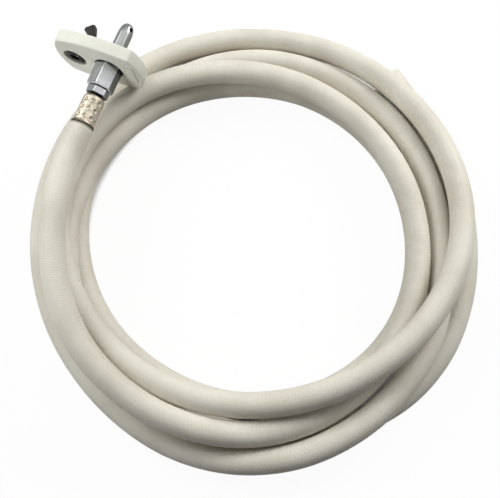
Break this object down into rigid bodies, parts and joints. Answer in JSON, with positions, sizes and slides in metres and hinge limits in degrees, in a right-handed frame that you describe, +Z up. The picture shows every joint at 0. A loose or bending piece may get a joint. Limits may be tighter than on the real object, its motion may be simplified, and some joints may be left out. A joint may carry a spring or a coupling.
{
  "type": "quick-connect hose assembly",
  "caption": "Coiled flexible gas or vacuum hose, cut bare at one end and crimped at the other to a plug-in fitting: bullet-nosed probe, keyed index plate and sprung latch lever.",
  "frame": {"origin": "middle of the coil's footprint, on the surface it lies on", "axes": "+Z up, out of the coil; +X to the right and +Y to the top of the coil as seen from above with the fitting at the upper left, its probe pointing towards +Y"},
  "size_m": [0.2416, 0.2506, 0.0626],
  "materials": {
    "hose_cover": "matt warm off-white cover over fine braid, faintly ribbed by it",
    "ferrule_metal": "satin nickel plate, dimpled by the crimping tool",
    "plated_metal": "satin chromium plate on brass",
    "probe_chrome": "polished chromium plate",
    "plate_plastic": "moulded, matt, faintly green white",
    "seal_rubber": "matt black",
    "lever_black": "matt black finish on steel, worn on its corners",
    "spring_steel": "bright drawn steel"
  },
  "bodies": {
    "hose_assembly": {"hose": "hose_cover", "crimp_ferrule": "ferrule_metal", "hose_tail": "plated_metal", "union_nut": "plated_metal", "union_seal": "seal_rubber", "plate_washer": "spring_steel", "probe": "probe_chrome", "index_plate": "plate_plastic", "latch_pin": "spring_steel", "latch_spring": "spring_steel"},
    "latch": {"latch_lever": "lever_black"}
  },
  "joints": [
    {"name": "latch_hinge", "type": "hinge", "parent": "hose_assembly", "child": "latch", "pos_m": [-0.0923, 0.08637, 0.04457], "axis": [0.1032, 0.0254, -0.9943], "range_deg": [0, 8], "stiffness_Nm_per_rad": 0.04, "springref_deg": -8.59}
  ]
}
